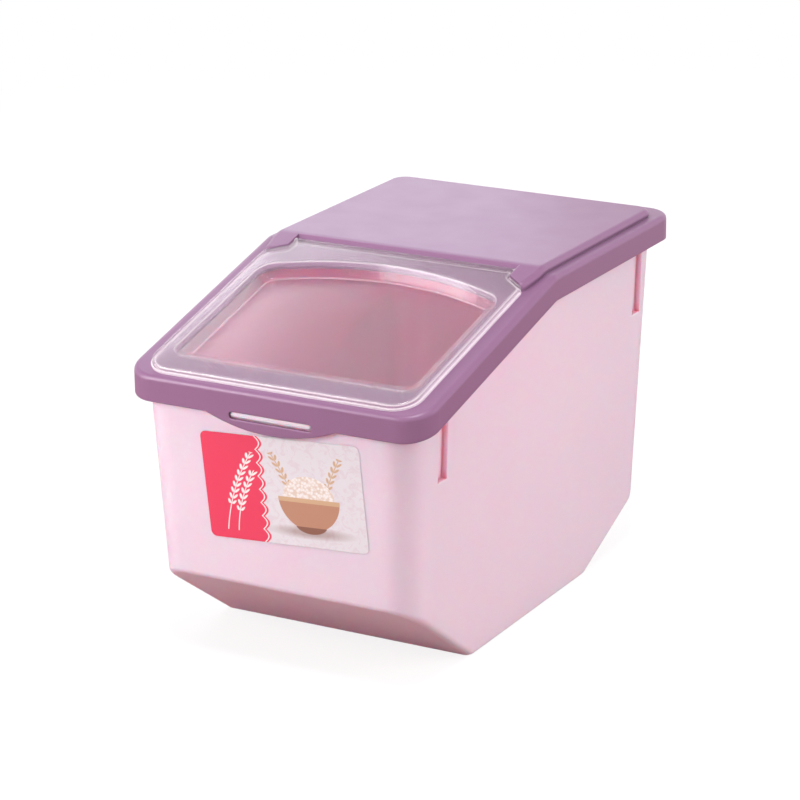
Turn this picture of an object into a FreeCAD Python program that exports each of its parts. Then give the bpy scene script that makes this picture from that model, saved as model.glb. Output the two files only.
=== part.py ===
import FreeCAD, Part
import math
import os
from collections import namedtuple

# Scoop-type rice storage bin: a drafted bin, a clip-on lid that slopes down at the front,
# a clear flip window hinged in the lid, and a label on the front wall.
# Millimetres. X runs to the right, Y to the back, Z up, from the middle of the footprint on the floor.

# Lid outline and heights
lid_width = 220.0
lid_depth = 366.0
lid_corner_radius = 20.0
lid_rear_height = 236.5
lid_drop = 46.0
knee_offset = 2.0
knee_radius = 15.0
skirt_height = 17.0
skirt_wall = 2.0
panel_wall = 2.2
rim_edge_radius = 3.5

# Raised rear half of the lid, with an ear beside each end of the hinge
plateau_height = 5.2
plateau_side_margin = 8.5
plateau_rear_margin = 17.0
plateau_corner_radius = 12.0
plateau_edge_radius = 3.6
ear_taper = 3.5
ear_bend_radius = 20.0
ear_tip_radius = 5.0
bevel_run = 3.0
bevel_drop = 2.6

# Snap tab and slot in the front of the skirt
tab_width = 95.0
tab_drop = 9.5
slot_width = 60.6
slot_height = 4.9

# Flip window, in the plane of the slope
window_side_margin = 12.5
window_front_margin = 5.2
window_corner_radius = 17.0
window_height = 4.8
window_wall = 2.0
window_edge_radius = 1.2
window_gap = 0.6
seat_gap = 0.4
tongue_setback = 4.7
tongue_length = 10.7
shoulder_width = 14.3
shoulder_length = 10.8
shoulder_radius = 3.0
notch_radius = 1.0
foot_lip = 0.8
foot_lip_height = 1.2

# Sunk pan of the window
flange_side = 9.0
flange_front = 21.5
flange_rear = 18.0
pan_depth = 10.0
pan_draft_run = 5.5
pan_front_radius = 9.0
pan_rear_radius = 14.0
pan_bow_share = 2.37
pan_bow_degrees = 19.5
pan_floor_radius = 2.5
pan_brow_radius = 1.2
opening_clearance = 0.6

# Hinge pins of the window in the lid's ears
pin_radius = 1.4
pin_length = 4.0
pin_clearance = 0.05
pin_end_gap = 0.4

# Bin walls
bin_wall = 2.0
bin_floor = 2.4
side_overhang = 7.8
front_overhang = 3.5
rear_overhang = 12.0
side_draft = 2.2
front_draft = 3.0
rear_draft = 2.6
bin_corner_radius = 22.0
base_edge_radius = 1.5
front_chamfer_height = 56.4
front_chamfer_run = 79.7
rear_chamfer_height = 38.1
rear_chamfer_run = 83.0
chamfer_edge_radius = 5.0

# Rim of the bin under the lid
lid_seat_gap = 0.3
rim_clearance = 0.8
rim_flange_wall = 2.0
rim_lip_wall = 1.6
rim_lip_height = 8.0

# Stacking grooves near the corners of the side walls
groove_width = 12.2
groove_depth = 4.0
groove_drop = 48.0
groove_spacing = 279.0

# Snap bead on the front wall
bead_side_gap = 1.0
bead_top_gap = 0.3
bead_bottom_gap = 1.2
bead_recess = 0.6
bead_edge_radius = 0.9

# Front label
label_width = 117.0
label_height = 72.0
label_corner_radius = 4.0
label_thickness = 0.2
label_shift = 5.6
label_drop = 47.5
label_turn = 3.6

# Length by which cutting bodies run past what they cut
overrun = 6.0

# Values worked out from the sizes above
V = FreeCAD.Vector
X_AXIS = V(1, 0, 0)
Y_AXIS = V(0, 1, 0)
Z_AXIS = V(0, 0, 1)
half_lid_width = lid_width / 2
half_lid_depth = lid_depth / 2
slope_reach = half_lid_depth - knee_offset
slope = math.atan2(lid_drop, slope_reach)
slope_length = math.hypot(lid_drop, slope_reach)
rear_skirt_bottom = lid_rear_height - skirt_height
front_skirt_bottom = rear_skirt_bottom - lid_drop
knee = V(0, -knee_offset, lid_rear_height)
slope_frame = FreeCAD.Placement(knee, FreeCAD.Rotation(X_AXIS, math.degrees(slope)))
side_profile_frame = FreeCAD.Placement(V(0, 0, 0), FreeCAD.Rotation(V(1, 1, 1), 120))
front_profile_frame = FreeCAD.Placement(V(0, 0, 0), FreeCAD.Rotation(X_AXIS, 90))

window_half = half_lid_width - window_side_margin
tongue_half = window_half - shoulder_width
window_rear = -tongue_setback
window_notch = window_rear - tongue_length
window_shoulder = window_notch - shoulder_length
window_front = window_front_margin - slope_length
barrel_radius = (window_height - seat_gap) / 2
hinge_line = window_rear - barrel_radius
hinge_rise = window_height - barrel_radius
pan_half = window_half - flange_side
pan_bow_radius = pan_half * pan_bow_share
pan_rear = window_rear - flange_rear
pan_front = window_front + flange_front

slot_level = front_skirt_bottom
label_level = front_skirt_bottom - label_drop
rim_rise = -(panel_wall + lid_seat_gap)
rim_half_width = half_lid_width - skirt_wall - rim_clearance
rim_half_depth = half_lid_depth - skirt_wall - rim_clearance
rim_corner_radius = lid_corner_radius - skirt_wall - rim_clearance

End = namedtuple("End", "reach level draft chamfer_height chamfer_run")
front_end = End(half_lid_depth - front_overhang, front_skirt_bottom, math.radians(front_draft),
                front_chamfer_height, front_chamfer_run)
rear_end = End(half_lid_depth - rear_overhang, rear_skirt_bottom, math.radians(rear_draft),
               rear_chamfer_height, rear_chamfer_run)


# Outlines and simple bodies

def rounded_outline(points, radii):
    """Closed wire in the XY plane through the points, each corner rounded by its own radius."""
    corners = [V(x, y, 0) for x, y in points]
    starts, ends, middles = [], [], []
    for index, corner in enumerate(corners):
        before = (corner - corners[index - 1]).normalize()
        after = (corners[(index + 1) % len(corners)] - corner).normalize()
        turn = before.getAngle(after)
        cut = radii[index] * math.tan(turn / 2)
        starts.append(corner - before * cut)
        ends.append(corner + after * cut)
        inward = (after - before).normalize()
        middles.append(corner + inward * radii[index] * (1 / math.cos(turn / 2) - 1))
    edges = []
    for index in range(len(corners)):
        if radii[index] > 0:
            edges.append(Part.Arc(starts[index], middles[index], ends[index]).toShape())
        follower = starts[(index + 1) % len(corners)]
        if ends[index].distanceToPoint(follower) > Part.Precision.confusion():
            edges.append(Part.LineSegment(ends[index], follower).toShape())
    return Part.Wire(edges)


def rectangle_outline(half_width, front, rear, radius):
    """Rounded rectangle between two Y values."""
    points = [(half_width, rear), (-half_width, rear), (-half_width, front), (half_width, front)]
    return rounded_outline(points, [radius] * len(points))


def raised(wire, low, high):
    """Upright body over an outline, from one level to another."""
    face = Part.Face(wire)
    face.translate(Z_AXIS * low)
    return face.extrude(Z_AXIS * (high - low))


def on_slope(shape):
    """Move a shape drawn in slope coordinates (across, up the slope, off the slope) to its place."""
    shape.Placement = slope_frame.multiply(shape.Placement)
    return shape


def crest(rise, lowered=0):
    """Front end, knee and rear end of the lid's two-plane profile, raised off it and lowered."""
    knee_y = -knee_offset - rise * math.tan(slope / 2)
    knee_z = lid_rear_height + rise - lowered
    reach = half_lid_depth + overrun
    front_z = knee_z - (reach + knee_y) * math.tan(slope)
    return [(-reach, front_z), (knee_y, knee_z), (reach, knee_z)]


def band(top_rise, bottom_rise, lowered=0):
    """Body across the whole width between two offsets of the lid's profile."""
    points = crest(bottom_rise, lowered) + crest(top_rise)[::-1]
    bottom_radius = knee_radius + bottom_rise
    top_radius = knee_radius + top_rise
    face = Part.Face(rounded_outline(points, [0, bottom_radius, 0, 0, top_radius, 0]))
    face.translate(Z_AXIS * -(half_lid_width + overrun))
    body = face.extrude(Z_AXIS * (lid_width + overrun * 2))
    body.Placement = side_profile_frame.multiply(body.Placement)
    return body


def crest_level(y):
    """Height of the lid's top at a depth, without the knee's rounding."""
    return lid_rear_height + min(0, y + knee_offset) * math.tan(slope)


def upper_rim(body):
    """Outer edges of all faces of a body that look up."""
    seen = {}
    for face in body.Faces:
        first, last, low, high = face.ParameterRange
        normal = face.normalAt((first + last) / 2, (low + high) / 2)
        if normal.z > math.cos(math.pi / 4):
            for edge in face.Edges:
                seen.setdefault(edge.hashCode(), []).append(edge)
    return [edges[0] for edges in seen.values() if len(edges) == 1]


def pill(width, height, level, near, far):
    """Bar with round ends that runs through the front wall, between two Y values."""
    radius = height / 2
    points = [(width / 2, radius), (-width / 2, radius), (-width / 2, -radius), (width / 2, -radius)]
    body = raised(rounded_outline(points, [radius] * len(points)), -far, -near)
    body.Placement = front_profile_frame.multiply(body.Placement)
    body.translate(Z_AXIS * level)
    return body


# Bin

def side_reach(z, inset=0):
    """Half width of the bin at a height, drawn in by an inset."""
    draft = math.radians(side_draft)
    reach = half_lid_width - side_overhang - (rear_skirt_bottom - z) * math.tan(draft)
    return reach - inset / math.cos(draft)


def wall_reach(end, z, inset=0):
    """Distance of one end's wall from the middle of the bin at a height."""
    draft_slope = math.tan(end.draft)
    return end.reach + (z - end.level) * draft_slope - inset * math.hypot(1, draft_slope)


def chamfer_reach(end, z, inset=0):
    """Distance of the chamfer below one end's wall from the middle of the bin at a height."""
    chamfer_slope = end.chamfer_run / end.chamfer_height
    reach = wall_reach(end, end.chamfer_height) + (z - end.chamfer_height) * chamfer_slope
    return reach - inset * math.hypot(1, chamfer_slope)


def chamfer_edges(body):
    """Edges round the chamfers of a body that stands on the floor, without those in its base."""
    slanted = math.sin(math.radians(10))
    edges = []
    for face in body.Faces:
        normal = face.normalAt(0, 0)
        if abs(normal.y) > slanted and normal.z < -slanted:
            edges += [edge for edge in face.Edges if edge.BoundBox.ZMax > base_edge_radius]
    return edges


def tub(inset, floor, top):
    """The bin's form drawn in by an inset: drafted walls with round corners, cut by the two chamfers."""
    corners = [V(-half_lid_width, -wall_reach(front_end, z, inset), z) for z in (top, floor)]
    corners += [V(-half_lid_width, wall_reach(rear_end, z, inset), z) for z in (floor, top)]
    ends = Part.Face(Part.makePolygon(corners + corners[:1])).extrude(X_AXIS * lid_width)
    reach = half_lid_depth + overrun
    corners = [V(side_reach(z, inset), -reach, z) for z in (floor, top)]
    corners += [V(-side_reach(z, inset), -reach, z) for z in (top, floor)]
    sides = Part.Face(Part.makePolygon(corners + corners[:1])).extrude(Y_AXIS * reach * 2)
    body = ends.common(sides)
    upright = [edge for edge in body.Edges if edge.BoundBox.ZLength > top / 2]
    body = body.makeFillet(bin_corner_radius - inset, upright)

    for end, direction in ((front_end, -1), (rear_end, 1)):
        low = floor - overrun
        high = end.chamfer_height * 2
        corners = [V(-half_lid_width, direction * chamfer_reach(end, z, inset), z) for z in (low, high)]
        corners.append(V(-half_lid_width, direction * chamfer_reach(end, high, inset), low))
        wedge = Part.Face(Part.makePolygon(corners + corners[:1])).extrude(X_AXIS * lid_width)
        body = body.cut(wedge)
    return body


def make_walls(top):
    """Outside of the bin, with rounded edges at the chamfers and round the base."""
    body = tub(0, 0, top)
    body = body.makeFillet(chamfer_edge_radius, chamfer_edges(body))
    base_edges = [edge for edge in body.Edges if edge.BoundBox.ZMax < base_edge_radius / 2]
    return body.makeFillet(base_edge_radius, base_edges)


def groove(side, y, depth, margin):
    """Body of one stacking groove, or with a margin of the rib that it makes inside."""
    bottom = crest_level(y) - skirt_height - groove_drop - margin
    top = lid_rear_height
    low_reach = side_reach(bottom, depth + margin)
    high_reach = side_reach(top, depth + margin)
    outside = half_lid_width + overrun
    points = [(low_reach, bottom), (outside, bottom), (outside, top), (high_reach, top)]
    corners = [V(side * x, y - groove_width / 2 - margin, z) for x, z in points]
    face = Part.Face(Part.makePolygon(corners + corners[:1]))
    return face.extrude(Y_AXIS * (groove_width + margin * 2))


def make_bin():
    top = lid_rear_height + overrun
    below_rim = band(rim_rise, rim_rise, lid_rear_height + overrun)
    walls = make_walls(top).common(below_rim)
    cavity = tub(bin_wall, bin_floor, top + overrun)
    for side in (1, -1):
        for y in (groove_spacing / 2, -groove_spacing / 2):
            walls = walls.cut(groove(side, y, groove_depth, 0))
            cavity = cavity.cut(groove(side, y, groove_depth, bin_wall))

    rim_outline = rectangle_outline(rim_half_width, -rim_half_depth, rim_half_depth, rim_corner_radius)
    rim_column = raised(rim_outline, 0, top)
    lip_outline = rectangle_outline(rim_half_width - rim_lip_wall, rim_lip_wall - rim_half_depth,
                                    rim_half_depth - rim_lip_wall, rim_corner_radius - rim_lip_wall)
    lip_ring = rim_column.cut(raised(lip_outline, 0, top))
    flange = band(rim_rise, rim_rise, rim_flange_wall).common(rim_column)
    lip = band(rim_rise, rim_rise, rim_lip_height).common(lip_ring)

    bead_height = slot_height - bead_top_gap - bead_bottom_gap
    bead_level = slot_level + (bead_bottom_gap - bead_top_gap) / 2
    bead_face = bead_recess - half_lid_depth
    bead_root = bin_wall / 2 - wall_reach(front_end, slot_level)
    bead = pill(slot_width - bead_side_gap * 2, bead_height, bead_level, bead_face, bead_root)
    front_edges = [edge for edge in bead.Edges if edge.BoundBox.YMax < bead_face + bead_edge_radius / 2]
    bead = bead.makeFillet(bead_edge_radius, front_edges)

    body = walls.fuse([flange, lip]).cut(cavity).fuse(bead)
    return body.removeSplitter()


# Lid

def window_outline():
    """Outline of the flip window in slope coordinates: tongue, shoulders, sides and front."""
    points = [(tongue_half, window_rear), (-tongue_half, window_rear),
              (-tongue_half, window_notch), (-window_half, window_shoulder),
              (-window_half, window_front), (window_half, window_front),
              (window_half, window_shoulder), (tongue_half, window_notch)]
    radii = [0, 0, notch_radius, shoulder_radius, window_corner_radius,
             window_corner_radius, shoulder_radius, notch_radius]
    return rounded_outline(points, radii)


def pan_outline():
    """Brow of the window's sunk pan, with a rear edge that bows to the back."""
    bow = math.radians(pan_bow_degrees)
    apex = pan_rear + pan_bow_radius * (1 / math.cos(bow) - 1)
    rear_corner = apex - pan_half * math.tan(bow)
    points = [(0, apex), (-pan_half, rear_corner), (-pan_half, pan_front),
              (pan_half, pan_front), (pan_half, rear_corner)]
    radii = [pan_bow_radius, pan_rear_radius, pan_front_radius, pan_front_radius, pan_rear_radius]
    return rounded_outline(points, radii)


def widened(wire, distance):
    """Outline moved outwards by a distance, or inwards if it is negative."""
    return Part.Face(wire).makeOffset2D(distance).OuterWire


def plateau_outline(margin):
    """Plan of the lid's raised rear half, drawn in by a margin."""
    half_width = half_lid_width - plateau_side_margin - margin
    rear = half_lid_depth - plateau_rear_margin - margin
    bend = -knee_offset + window_notch / 2
    tip = -knee_offset + window_shoulder * math.cos(slope)
    points = [(half_width, rear), (-half_width, rear), (-half_width, bend), (ear_taper - half_width, tip),
              (half_width - ear_taper, tip), (half_width, bend)]
    corner_radius = plateau_corner_radius - margin
    radii = [corner_radius, corner_radius, ear_bend_radius, ear_tip_radius, ear_tip_radius, ear_bend_radius]
    return rounded_outline(points, radii)


def hinge_cylinder(side, radius, start, length):
    """Round body on the hinge axis, pointing outwards from a distance off the middle."""
    base = V(side * start, hinge_line, hinge_rise)
    return on_slope(Part.makeCylinder(radius, length, base, X_AXIS * side))


def make_plateau():
    top = lid_rear_height + plateau_height + overrun
    body = band(plateau_height, -panel_wall / 2).common(raised(plateau_outline(0), 0, top))
    body = body.makeFillet(plateau_edge_radius, upper_rim(body))
    clear = raised(widened(window_outline(), window_gap), 0, plateau_height + overrun)
    body = body.cut(on_slope(clear))

    wall_top = plateau_height - bevel_drop
    wall_line = window_rear + window_gap
    bevel_line = wall_line + bevel_run
    above = plateau_height + overrun
    points = [(wall_line - overrun, wall_top), (wall_line, wall_top), (bevel_line, plateau_height),
              (bevel_line, above), (wall_line - overrun, above)]
    half_width = tongue_half + window_gap
    corners = [V(-half_width, y, z) for y, z in points]
    bevel = Part.Face(Part.makePolygon(corners + corners[:1])).extrude(X_AXIS * half_width * 2)
    return body.cut(on_slope(bevel))


def make_tab():
    """Plate that carries the snap slot below the front of the skirt."""
    left = V(-tab_width / 2, 0, 0)
    right = V(tab_width / 2, 0, 0)
    root = Z_AXIS * skirt_height / 2
    bulge = Part.Arc(left, V(0, 0, -tab_drop), right).toShape()
    sides = Part.makePolygon([right, right + root, left + root, left])
    plate = Part.Face(Part.Wire([bulge] + sides.Edges)).extrude(Y_AXIS * skirt_wall)
    plate.translate(V(0, -half_lid_depth, front_skirt_bottom))
    return plate


def make_lid():
    top = lid_rear_height + overrun
    outline = rectangle_outline(half_lid_width, -half_lid_depth, half_lid_depth, lid_corner_radius)
    shell = band(0, 0, skirt_height).common(raised(outline, 0, top))
    shell = shell.makeFillet(rim_edge_radius, upper_rim(shell))

    inner_outline = rectangle_outline(half_lid_width - skirt_wall, skirt_wall - half_lid_depth,
                                      half_lid_depth - skirt_wall, lid_corner_radius - skirt_wall)
    inside = band(-panel_wall, -panel_wall, skirt_height + overrun).common(raised(inner_outline, 0, top))
    body = shell.cut(inside).fuse([make_plateau(), make_tab()])

    hollow_half = half_lid_width - plateau_side_margin - panel_wall
    hollow_rear = half_lid_depth - plateau_rear_margin - panel_wall
    hollow_radius = plateau_corner_radius - panel_wall
    hollow_outline = rectangle_outline(hollow_half, -knee_offset, hollow_rear, hollow_radius)
    hollow = band(plateau_height - panel_wall, -panel_wall - overrun).common(raised(hollow_outline, 0, top))
    opening = on_slope(raised(widened(pan_outline(), opening_clearance), -panel_wall - overrun, overrun))
    slot = pill(slot_width, slot_height, slot_level, -half_lid_depth - overrun, overrun - half_lid_depth)
    cuts = [hollow, opening, slot]
    for side in (1, -1):
        mouth = tongue_half + window_gap / 2
        depth = pin_length + pin_end_gap - window_gap / 2
        cuts.append(hinge_cylinder(side, pin_radius + pin_clearance, mouth, depth))
    return body.cut(cuts).removeSplitter()


# Flip window

def pan_body(brow, top, bottom, run):
    """Drafted pan from its brow outline down to its floor."""
    floor = widened(brow, -run)
    upper = brow.copy()
    upper.translate(Z_AXIS * top)
    floor.translate(Z_AXIS * bottom)
    return Part.makeLoft([upper, floor], True, True)


def make_window():
    outline = window_outline()
    plate = raised(outline, seat_gap, window_height)
    plate = plate.makeFillet(window_edge_radius, upper_rim(plate))
    inner = widened(outline, -window_wall)
    body = plate.cut(raised(inner, seat_gap - overrun, window_height - window_wall))

    lip_outline = widened(outline, foot_lip)
    lip = raised(lip_outline, seat_gap, seat_gap + foot_lip_height).cut(raised(inner, 0, window_height))
    lip_front = Part.makeBox(lid_width, slope_length, window_height * 2)
    lip_front.translate(V(-half_lid_width, window_shoulder - shoulder_radius - slope_length, -window_height))
    body = body.fuse(lip.common(lip_front))

    draft = pan_draft_run / pan_depth
    wall_across = window_wall * math.hypot(1, draft) - window_wall * draft
    pan_top = window_height - window_wall
    pan_bottom = window_height - pan_depth - window_wall
    outer = pan_body(widened(pan_outline(), wall_across), pan_top, pan_bottom, (pan_top - pan_bottom) * draft)
    sunk = pan_body(pan_outline(), window_height, window_height - pan_depth, pan_draft_run)
    sunk_floor = [edge for edge in sunk.Edges if edge.BoundBox.ZMax < window_height - pan_depth / 2]
    sunk = sunk.makeFillet(pan_floor_radius, sunk_floor)
    body = body.fuse(outer).cut(sunk)

    rear_block = Part.makeBox(tongue_half * 2, barrel_radius + overrun, window_height + overrun * 2)
    rear_block.translate(V(-tongue_half, hinge_line, -overrun))
    barrel = Part.makeCylinder(barrel_radius, tongue_half * 2, V(-tongue_half, hinge_line, hinge_rise), X_AXIS)
    body = body.cut(rear_block).fuse(barrel)
    brow = [edge for edge in body.Edges
            if edge.BoundBox.ZMin > window_height - pan_brow_radius / 2 and on_brow(edge)]
    body = body.makeFillet(pan_brow_radius, brow)
    body = on_slope(body.removeSplitter())
    pins = [hinge_cylinder(side, pin_radius, tongue_half - pin_end_gap, pin_length + pin_end_gap)
            for side in (1, -1)]
    return body.fuse(pins).removeSplitter()


def on_brow(edge):
    """Whether an edge of the window follows the pan's brow."""
    middle = edge.valueAt((edge.FirstParameter + edge.LastParameter) / 2)
    flat = V(middle.x, middle.y, 0)
    return pan_outline().distToShape(Part.Vertex(flat))[0] < pan_brow_radius / 2


# Front label

def make_label():
    half_height = label_height / 2
    sheet = raised(rectangle_outline(label_width / 2, -half_height, half_height, label_corner_radius),
                   0, label_thickness)
    sheet.rotate(V(0, 0, 0), Z_AXIS, label_turn)
    middle = V(label_shift, -wall_reach(front_end, label_level), label_level)
    wall_turn = FreeCAD.Rotation(X_AXIS, 90 + front_draft)
    sheet.Placement = FreeCAD.Placement(middle, wall_turn).multiply(sheet.Placement)
    return sheet


os.makedirs("parts", exist_ok=True)
pieces = {
    "bin": make_bin(),
    "lid": make_lid(),
    "flip_window": make_window(),
    "front_label": make_label(),
}
for name, piece in pieces.items():
    piece.exportStep("parts/" + name + ".step")
    box = piece.optimalBoundingBox()
    print(name, "solids", len(piece.Solids), "valid", piece.isValid(), "volume %.0f" % piece.Volume,
          "x %.2f %.2f" % (box.XMin, box.XMax), "y %.2f %.2f" % (box.YMin, box.YMax),
          "z %.2f %.2f" % (box.ZMin, box.ZMax))
brim = band(rim_rise, rim_rise, lid_rear_height)
litre = 1e6
capacity = tub(bin_wall, bin_floor, lid_rear_height).common(brim).Volume / litre
print("capacity to the brim %.2f litres" % capacity)
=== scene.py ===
# %% [markdown]
# # A rice storage bin
# The bin is three plastic mouldings and a printed label: a pale pink bin, a mauve lid that clips onto it,
# and a clear window that flips up on pins in the lid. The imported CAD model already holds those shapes,
# in metres and in place, so it is loaded first and stays as it is. This lesson dresses it: each moulding
# gets its plastic, the label gets its print, and a small studio with a camera is set up around it.

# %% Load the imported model
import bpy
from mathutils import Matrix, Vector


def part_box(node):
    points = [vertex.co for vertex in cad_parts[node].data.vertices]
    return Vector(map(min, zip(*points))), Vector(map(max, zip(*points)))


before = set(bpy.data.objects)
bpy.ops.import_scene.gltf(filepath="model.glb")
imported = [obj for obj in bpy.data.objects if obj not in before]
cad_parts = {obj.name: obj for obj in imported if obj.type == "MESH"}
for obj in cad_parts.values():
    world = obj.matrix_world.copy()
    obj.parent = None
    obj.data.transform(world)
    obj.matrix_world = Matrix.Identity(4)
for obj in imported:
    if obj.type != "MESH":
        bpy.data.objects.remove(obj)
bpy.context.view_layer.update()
print("CAD nodes:", sorted(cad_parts))

# %% [markdown]
# ## Camera
# The photograph looks down on the bin from its front right with a long lens, so the edges hardly
# converge. Azimuth and elevation turn an arrow from the middle of the picture towards the camera, and
# the camera is set at the end of that arrow. The picture is rolled by a fraction of a degree.

# %% Place the camera
import math

import bpy
from mathutils import Quaternion, Vector

AZIMUTH = math.radians(29.386)
ELEVATION = math.radians(18.311)
ROLL = math.radians(-0.677)
DISTANCE = 2.22047
PICTURE_MIDDLE = Vector((-0.00922, 0.0, 0.13276))
SENSOR_MM = 36.0
LENS_MM = 147.57

to_camera = Vector((math.sin(AZIMUTH) * math.cos(ELEVATION),
                    -math.cos(AZIMUTH) * math.cos(ELEVATION),
                    math.sin(ELEVATION)))
bpy.ops.object.select_all(action="DESELECT")
bpy.ops.object.camera_add(location=PICTURE_MIDDLE + DISTANCE * to_camera)
camera = bpy.context.object
camera.name = "photo_camera"
camera.rotation_mode = "QUATERNION"
camera.rotation_quaternion = to_camera.to_track_quat("Z", "Y") @ Quaternion((0, 0, 1), ROLL)
camera.data.sensor_width = SENSOR_MM
camera.data.lens = LENS_MM
bpy.context.scene.camera = camera
print("camera at", [round(place, 3) for place in camera.location])

# %% [markdown]
# ## Helpers for shader nodes
# Every finish below is a small graph of shader nodes. One helper adds a node, links the inputs that are
# given as sockets and types in the others, so that a graph reads from top to bottom like a recipe. Two
# more wrap the nodes that come up most: a ramp from one range of values to another, and a mix of colours.

# %% Add nodes, ramps and mixes


def add_node(tree, kind, inputs=None, **settings):
    node = tree.nodes.new("ShaderNode" + kind)
    for setting, value in settings.items():
        setattr(node, setting, value)
    for key, value in (inputs or {}).items():
        if isinstance(value, bpy.types.NodeSocket):
            tree.links.new(value, node.inputs[key])
        else:
            node.inputs[key].default_value = value
    return node


def ramp(tree, value, start, end, at_start, at_end):
    inputs = {"Value": value, 1: start, 2: end, 3: at_start, 4: at_end}
    return add_node(tree, "MapRange", inputs).outputs[0]


def mix_colour(tree, share, under, over):
    return add_node(tree, "Mix", {0: share, 6: under, 7: over}, data_type="RGBA").outputs[2]


def noise(tree, vector, scale, detail, distortion=0.0):
    inputs = {"Vector": vector, "Scale": scale, "Detail": detail, "Distortion": distortion}
    return add_node(tree, "TexNoise", inputs).outputs[0]


def empty_material(name):
    material = bpy.data.materials.new(name)
    material.use_nodes = True
    material.node_tree.nodes.clear()
    return material


# %% [markdown]
# ## Studio
# Product pictures of such bins are taken on white. The floor is a sheet of paper that takes the soft
# shadow. For the camera most of it is replaced by plain white, so the background is white without more
# light on the object. Gloss and the clear window see the white too, but only further off: close to the
# bin they see the paper, so the chamfers aren't lit by a glowing floor.

# %% Floor
FLOOR_SIZE = 14.0
WHITE = (1.0, 1.0, 1.0, 1.0)
PAPER_TINT = (0.36, 0.23, 0.22, 1.0)
WHITE_UNDER_BIN = 0.8


def ray_is(tree, *kinds):
    path = add_node(tree, "LightPath")
    found = path.outputs["Is " + kinds[0] + " Ray"]
    for kind in kinds[1:]:
        found = add_node(tree, "Math", {0: found, 1: path.outputs["Is " + kind + " Ray"]},
                         operation="MAXIMUM").outputs[0]
    return found


bpy.ops.object.select_all(action="DESELECT")
bpy.ops.mesh.primitive_plane_add(size=FLOOR_SIZE)
floor = bpy.context.object
floor.name = "studio_floor"

floor_paper = empty_material("floor_paper")
tree = floor_paper.node_tree
place = add_node(tree, "TexCoord").outputs["Object"]
away = add_node(tree, "VectorMath", {0: place}, operation="LENGTH").outputs["Value"]
by_camera = ray_is(tree, "Camera")
by_gloss = ray_is(tree, "Glossy", "Transmission")
pictured = add_node(tree, "Math", {0: by_camera, 1: ramp(tree, away, 0.4, 1.6, WHITE_UNDER_BIN, 1.0)},
                    operation="MULTIPLY").outputs[0]
white_share = add_node(tree, "Math", {0: by_gloss, 1: ramp(tree, away, 0.5, 2.0, 0.0, 1.0), 2: pictured},
                       operation="MULTIPLY_ADD").outputs[0]
paper = add_node(tree, "BsdfDiffuse", {"Color": mix_colour(tree, by_camera, PAPER_TINT, WHITE)})
white = add_node(tree, "Emission", {"Color": WHITE, "Strength": 1.0})
floor_mix = add_node(tree, "MixShader", {0: white_share, 1: paper.outputs[0], 2: white.outputs[0]})
add_node(tree, "OutputMaterial", {"Surface": floor_mix.outputs[0]})
floor.data.materials.append(floor_paper)
print("floor", FLOOR_SIZE, "m wide")

# %% [markdown]
# ## World
# The world gives the even part of the light. For the camera and in reflections it is a white backdrop
# that dims towards the ceiling, as a studio does, so the lid's sloping front mirrors less white than
# its flat top.

# %% World light and backdrop
WORLD_LIGHT = 0.42
DAYLIGHT = (0.97, 0.97, 1.0, 1.0)
CEILING_WHITE = 0.42

world = bpy.data.worlds.new("studio_world")
bpy.context.scene.world = world
world.use_nodes = True
tree = world.node_tree
tree.nodes.clear()
daylight = add_node(tree, "Background", {"Color": DAYLIGHT, "Strength": WORLD_LIGHT})
upward = add_node(tree, "SeparateXYZ", {0: add_node(tree, "TexCoord").outputs["Generated"]}).outputs[2]
backdrop = add_node(tree, "Background", {"Color": WHITE,
                                         "Strength": ramp(tree, upward, 0.3, 0.65, 1.0, CEILING_WHITE)})
world_mix = add_node(tree, "MixShader", {0: ray_is(tree, "Camera", "Glossy", "Transmission"),
                                         1: daylight.outputs[0], 2: backdrop.outputs[0]})
add_node(tree, "OutputWorld", {"Surface": world_mix.outputs[0]})
bpy.context.scene.view_settings.view_transform = "Standard"
print("world light", WORLD_LIGHT)

# %% [markdown]
# ## Lamps
# The front wall is brightest at its left and the right wall is a shade deeper, so the main light is a
# large softbox on the front left, with fills on the right. One behind shines through the thin walls and
# lights the inside. The lamp above is small, and so is the strip in front: they give the gloss its short
# highlights. Two bluish panels behind are there to be mirrored, because a surface seen at a low angle
# mirrors what is behind it. Lamps that would only show as white patches are kept out of reflections.

# %% Softboxes


def add_softbox(name, location, size, watts, tint=(1.0, 1.0, 1.0), mirrored=True):
    bpy.ops.object.light_add(type="AREA", location=location)
    lamp = bpy.context.object
    lamp.name = name
    lamp.data.shape = "SQUARE"
    lamp.data.size = size
    lamp.data.energy = watts
    lamp.data.color = tint
    lamp.visible_glossy = mirrored
    lamp.rotation_mode = "QUATERNION"
    lamp.rotation_quaternion = (Vector(location) - PICTURE_MIDDLE).to_track_quat("Z", "Y")
    print(name, "at", location, "with", watts, "W")


add_softbox("softbox_front_left", (-0.8, -0.95, 0.5), 0.7, 11.0)
add_softbox("softbox_front_right", (0.9, -1.6, 0.5), 0.9, 4.0, mirrored=False)
add_softbox("softbox_right", (1.9, 0.3, 1.0), 1.4, 28.0, mirrored=False)
add_softbox("softbox_behind", (-0.6, 1.7, 0.45), 1.0, 25.0, mirrored=False)
add_softbox("softbox_above", (0.24, -0.42, 1.55), 0.4, 11.5)
add_softbox("strip_front", (-0.68, -1.08, 0.77), 0.18, 1.8)
add_softbox("panel_behind", (-0.75, 1.05, 0.62), 0.6, 1.0, (0.80, 0.88, 1.0))
add_softbox("panel_above_left", (-0.9, 0.84, 0.95), 0.45, 1.2, (0.92, 0.95, 1.0))

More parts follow.
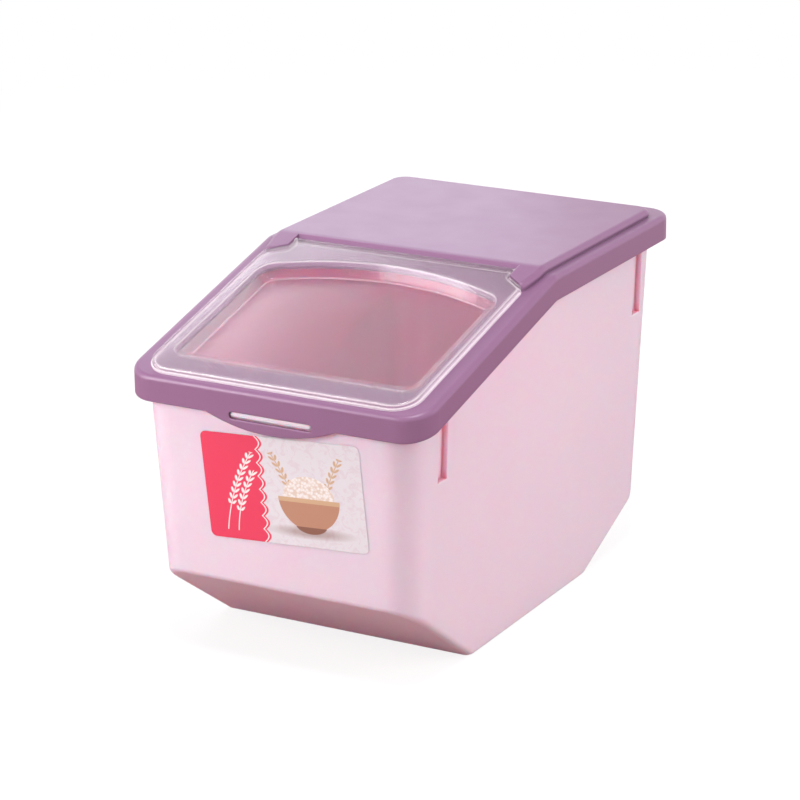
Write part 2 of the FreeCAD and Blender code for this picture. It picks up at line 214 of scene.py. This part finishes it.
# %% [markdown]
# ## Moulded plastic
# Bin and lid are injection-moulded plastic with a satin gloss. The colour isn't quite even, because
# pigment follows the melt: a slow noise mixes two near shades. A fine noise gives the skin its orange
# peel, and a coarser one makes the gloss uneven. Rounded edges get a painted highlight: the Bevel node
# finds them, because its smoothed normal differs from the surface's own there, and a paler colour is
# mixed in. Grooves and inner corners get painted shade: Ambient Occlusion finds them and a deeper colour
# is mixed in, standing in for the light that bounces between their sides. The pink walls are thin and
# let light into the bin, red most of all, so they scatter it below the surface. The mauve plastic is
# opaque and gets none of that.

# %% Find the rounded edges


def find_edges(tree, width, samples):
    round_over = add_node(tree, "Bevel", {"Radius": width}, samples=samples).outputs[0]
    surface = add_node(tree, "NewGeometry").outputs["Normal"]
    likeness = add_node(tree, "VectorMath", {0: round_over, 1: surface}, operation="DOT_PRODUCT")
    return round_over, likeness.outputs["Value"]


# %% Recipe for moulded plastic
FLOW_SCALE = 7.0
CLOUD_SCALE = 45.0
PEEL_SCALE = 1100.0
PEEL_DEPTH = 0.00002
EDGE_WIDTH = 0.0012
GROOVE_REACH = 0.006
SCATTER_REACH = 0.0066
SCATTER_BY_COLOUR = (1.0, 0.33, 0.46)
PLASTIC_IOR = 1.49


def moulded_plastic(name, shade, deep_shade, painted_edge_highlight, painted_groove_shade, gloss, scatter):
    material = empty_material(name)
    tree = material.node_tree
    place = add_node(tree, "TexCoord").outputs["Object"]
    flow = ramp(tree, noise(tree, place, FLOW_SCALE, 3.0, 0.8), 0.35, 0.7, 0.0, 1.0)
    colour = mix_colour(tree, flow, shade, deep_shade)
    round_over, likeness = find_edges(tree, EDGE_WIDTH, 6)
    # Painted highlight: rounded edges are mixed towards a paler colour.
    colour = mix_colour(tree, ramp(tree, likeness, 0.995, 0.9, 0.0, 0.6), colour, painted_edge_highlight)
    # Painted shade: where Ambient Occlusion finds a groove or inner corner, a deeper colour is mixed in.
    open_sky = add_node(tree, "AmbientOcclusion", {"Distance": GROOVE_REACH}, samples=8, only_local=True)
    painted_shade_share = ramp(tree, open_sky.outputs["AO"], 0.8, 0.5, 0.0, 1.0)
    colour = mix_colour(tree, painted_shade_share, colour, painted_groove_shade)
    roughness = ramp(tree, noise(tree, place, CLOUD_SCALE, 3.0), 0.3, 0.7, *gloss)
    peel = noise(tree, place, PEEL_SCALE, 2.0)
    skin = add_node(tree, "Bump", {"Strength": 0.5, "Distance": PEEL_DEPTH, "Height": peel,
                                   "Normal": round_over})
    plastic = add_node(tree, "BsdfPrincipled", {"Base Color": colour, "Roughness": roughness,
                                                "IOR": PLASTIC_IOR, "Normal": skin.outputs[0],
                                                "Subsurface Weight": scatter,
                                                "Subsurface Radius": SCATTER_BY_COLOUR,
                                                "Subsurface Scale": SCATTER_REACH})
    add_node(tree, "OutputMaterial", {"Surface": plastic.outputs[0]})
    print("made", name, "with", len(tree.nodes), "nodes")
    return material


# %% Pink bin and mauve lid
# Each finish is given a painted-highlight colour for its rounded edges and a painted-shade colour for its
# grooves.
bin_pink = moulded_plastic("bin_pink",
                           shade=(0.92, 0.665, 0.765, 1.0), deep_shade=(0.91, 0.65, 0.75, 1.0),
                           painted_edge_highlight=(0.93, 0.72, 0.80, 1.0), painted_groove_shade=(0.84, 0.36, 0.45, 1.0),
                           gloss=(0.32, 0.38), scatter=1.0)
lid_mauve = moulded_plastic("lid_mauve",
                            shade=(0.262, 0.125, 0.236, 1.0), deep_shade=(0.253, 0.12, 0.228, 1.0),
                            painted_edge_highlight=(0.42, 0.25, 0.39, 1.0), painted_groove_shade=(0.10, 0.04, 0.085, 1.0),
                            gloss=(0.29, 0.34), scatter=0.0)
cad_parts["bin"].material_slots[0].material = bin_pink
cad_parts["lid"].material_slots[0].material = lid_mauve

# %% [markdown]
# ## Clear window
# The window is moulded in clear plastic with a faint frost. What lies close behind it, such as the lid's
# frame, stays sharp, and the inside of the bin, a hand's width away, goes soft. A slightly rough glass
# does that, and its roughness varies over the pane. Pure glass would keep most lamp light out of the
# bin, so Alpha lets part of it straight through. Along the rounded edges the real pane gathers light
# into white lines, and there the edge mask turns the glass into a pale, nearly solid plastic.

# %% Clear plastic
WINDOW_EDGE = 0.0018
WINDOW_TINT = (1.0, 0.90, 0.95, 1.0)
WINDOW_IOR = 1.45
CLEAR_PANE, CLEAR_EDGE = 0.915, 0.15
SOLID_PANE, SOLID_EDGE = 0.45, 0.78

window_clear = empty_material("window_clear")
tree = window_clear.node_tree
place = add_node(tree, "TexCoord").outputs["Object"]
frost = ramp(tree, noise(tree, place, 60.0, 4.0), 0.3, 0.7, 0.10, 0.17)
ripple = noise(tree, place, 300.0, 2.0)
ripple_skin = add_node(tree, "Bump", {"Strength": 0.1, "Distance": PEEL_DEPTH, "Height": ripple})
edge = ramp(tree, find_edges(tree, WINDOW_EDGE, 8)[1], 0.999, 0.95, 0.0, 1.0)
clear = add_node(tree, "BsdfPrincipled", {"Base Color": WINDOW_TINT, "Roughness": frost, "IOR": WINDOW_IOR,
                                          "Alpha": ramp(tree, edge, 0.0, 1.0, SOLID_PANE, SOLID_EDGE),
                                          "Transmission Weight": ramp(tree, edge, 0.0, 1.0,
                                                                      CLEAR_PANE, CLEAR_EDGE),
                                          "Coat Weight": 0.5, "Coat Roughness": 0.12,
                                          "Normal": ripple_skin.outputs[0]})
add_node(tree, "OutputMaterial", {"Surface": clear.outputs[0]})
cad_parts["flip_window"].material_slots[0].material = window_clear
print("made window_clear with", len(tree.nodes), "nodes")

# %% [markdown]
# ## Label print
# The label is a film with a printed picture, so its motif belongs in the material: ink has no thickness.
# A Mapping node lays a flat sheet of millimetres on the label, with its origin in the label's middle, and
# each motif is a mask on that sheet: a scalloped field, ears of rice and a bowl heaped with rice.

# %% Millimetre sheet on the label
from mathutils import Matrix

LABEL_TURN = math.radians(3.6)
MILLIMETRE = 0.001

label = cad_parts["front_label"]
label_face = max((face for face in label.data.polygons if face.normal.y < 0), key=lambda face: face.area)
wall_lean = math.asin(-label_face.normal.z)
label_low, label_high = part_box("front_label")
label_middle = (label_low + label_high) / 2
upright = Matrix.Rotation(math.radians(90) + wall_lean, 3, "X")
label_turned = upright @ Matrix.Rotation(LABEL_TURN, 3, "Z")
print("label leans by", round(math.degrees(wall_lean), 2), "degrees, middle at",
      [round(place, 4) for place in label_middle])

label_print = empty_material("label_print")
tree = label_print.node_tree
sheet = add_node(tree, "Mapping", {"Vector": add_node(tree, "TexCoord").outputs["Object"],
                                   "Location": label_middle, "Rotation": label_turned.to_euler(),
                                   "Scale": (MILLIMETRE, MILLIMETRE, MILLIMETRE)},
                 vector_type="TEXTURE").outputs[0]

# %% [markdown]
# A mask is 1 where there is ink and 0 elsewhere, with an edge as soft as print. Masks are joined with
# minimum and maximum. An oval is a circle on a sheet that is moved, turned and stretched, and flattened
# so far across its thickness that the film's own depth doesn't count.

# %% Masks for the print
INK_EDGE = 0.12
FLATTENED = 1.0e6


def maths(operation, first, second=0.0, third=0.0):
    return add_node(tree, "Math", {0: first, 1: second, 2: third}, operation=operation).outputs[0]


def below(value, limit, softness=INK_EDGE):
    return ramp(tree, value, limit - softness, limit + softness, 1.0, 0.0)


def above(value, limit):
    return below(maths("MULTIPLY", value, -1.0), -limit)


def moved(vector, middle, turn=0.0, size=(1.0, 1.0)):
    return add_node(tree, "Mapping", {"Vector": vector, "Location": (*middle, 0.0),
                                      "Rotation": (0.0, 0.0, math.radians(turn)),
                                      "Scale": (*size, FLATTENED)}, vector_type="TEXTURE").outputs[0]


def oval(vector, middle, size, turn=0.0, softness=INK_EDGE):
    inside = moved(vector, middle, turn, size)
    reach = add_node(tree, "VectorMath", {0: inside}, operation="LENGTH").outputs["Value"]
    return below(reach, 1.0, softness / min(size))


def both(first, second):
    return maths("MINIMUM", first, second)


def either(first, second):
    return maths("MAXIMUM", first, second)


def print_over(under, ink, mask):
    return mix_colour(tree, mask, under, ink)


def across(vector):
    parts = add_node(tree, "SeparateXYZ", {0: vector})
    return parts.outputs[0], parts.outputs[1]


# %% [markdown]
# An ear of rice is a bent stem with a pair of grains at every step. The distance from the stem has no
# sign, so one grain serves both sides, and wrapping the length into steps repeats it along the stem.

# %% Ear of rice
GRAIN_PITCH = 4.4
STEM_HALF = 0.35
BARE_STEM = 0.32


def ear_of_rice(foot, turn, length, bend):
    along, aside = across(moved(sheet, foot, turn))
    curve = maths("MULTIPLY", maths("MULTIPLY", along, along), bend)
    from_stem = maths("ABSOLUTE", maths("SUBTRACT", aside, curve))
    stem = below(from_stem, STEM_HALF)
    step = maths("WRAP", along, GRAIN_PITCH, 0.0)
    cell = add_node(tree, "CombineXYZ", {0: step, 1: from_stem}).outputs[0]
    grain = oval(cell, (GRAIN_PITCH * 0.5, 1.7), (2.1, 0.85), 34.0)
    headed = both(grain, above(along, length * BARE_STEM))
    span = both(below(along, length), above(along, 0.0))
    return both(either(headed, stem), span)


# %% [markdown]
# The print is laid down as a printer does it, ground first: a pale panel with a faint wash, the red field
# with its scalloped edge and white piping, two white ears on it, and then the bowl with its shadow.

# %% Panel, red field and white ears
PANEL_GREY = (0.74, 0.72, 0.76, 1.0)
PANEL_BLUSH = (0.70, 0.60, 0.66, 1.0)
FIELD_RED = (0.78, 0.055, 0.12, 1.0)
RICE_WHITE = (0.88, 0.85, 0.84, 1.0)
SCALLOP_PITCH = 9.0
SCALLOP_DEPTH = 3.2
FIELD_EDGE = -16.0

sheet_x, sheet_y = across(sheet)
wash = ramp(tree, noise(tree, sheet, 0.16, 3.0, 1.5), 0.5, 0.62, 0.0, 0.6)
ink = print_over(PANEL_GREY, PANEL_BLUSH, wash)
wave = maths("ABSOLUTE", maths("SINE", maths("MULTIPLY", sheet_y, math.pi / SCALLOP_PITCH)))
from_field = maths("SUBTRACT", sheet_x, maths("MULTIPLY", wave, SCALLOP_DEPTH))
ink = print_over(ink, FIELD_RED, below(from_field, FIELD_EDGE))
piping = both(below(from_field, FIELD_EDGE - 1.6), above(from_field, FIELD_EDGE - 2.5))
ink = print_over(ink, RICE_WHITE, piping)
ink = print_over(ink, RICE_WHITE, ear_of_rice((-45.0, -30.0), 80.0, 58.0, -0.004))
ink = print_over(ink, RICE_WHITE, ear_of_rice((-37.0, -30.0), 84.0, 44.0, -0.006))
print("field and ears take", len(tree.nodes), "nodes")

# %% Bowl of rice and straw ears
STRAW = (0.62, 0.42, 0.26, 1.0)
CLAY = (0.50, 0.26, 0.17, 1.0)
CLAY_DARK = (0.26, 0.12, 0.085, 1.0)
BOWL_X = 18.0
BRIM_Y = -3.0

shadow = maths("MULTIPLY", oval(sheet, (BOWL_X, -26.0), (24.0, 3.4), 0.0, 1.6), 0.55)
ink = print_over(ink, CLAY_DARK, shadow)
ink = print_over(ink, STRAW, ear_of_rice((BOWL_X - 10.0, -8.0), 106.0, 37.0, 0.004))
ink = print_over(ink, STRAW, ear_of_rice((BOWL_X + 10.0, -8.0), 74.0, 37.0, -0.004))
heap = both(oval(sheet, (BOWL_X, BRIM_Y), (19.0, 15.0)), above(sheet_y, BRIM_Y - 0.6))
grains = add_node(tree, "TexVoronoi", {"Vector": sheet, "Scale": 0.55}).outputs["Distance"]
heap_ink = print_over(RICE_WHITE, STRAW, ramp(tree, grains, 0.3, 0.75, 0.0, 0.55))
ink = print_over(ink, heap_ink, heap)
bowl = both(oval(sheet, (BOWL_X, BRIM_Y), (22.5, 22.0)), below(sheet_y, BRIM_Y))
bowl = both(bowl, above(sheet_y, -22.5))
ink = print_over(ink, CLAY, bowl)
ink = print_over(ink, STRAW, both(bowl, above(sheet_y, BRIM_Y - 3.0)))
foot = both(oval(sheet, (BOWL_X, -20.0), (12.0, 7.0)), below(sheet_y, -22.3))
ink = print_over(ink, CLAY_DARK, foot)
print("with the bowl it takes", len(tree.nodes), "nodes")

# %% [markdown]
# The film over the print is half glossy and never lies quite flat, so a slow noise moves both its gloss
# and its surface.

# %% Film over the print
FILM_IOR = 1.5

film = noise(tree, sheet, 0.06, 2.0)
film_skin = add_node(tree, "Bump", {"Strength": 0.25, "Distance": 0.0002, "Height": film})
printed = add_node(tree, "BsdfPrincipled", {"Base Color": ink, "IOR": FILM_IOR,
                                            "Roughness": ramp(tree, film, 0.3, 0.7, 0.28, 0.42),
                                            "Normal": film_skin.outputs[0]})
add_node(tree, "OutputMaterial", {"Surface": printed.outputs[0]})
label.material_slots[0].material = label_print
print("made label_print with", len(tree.nodes), "nodes")
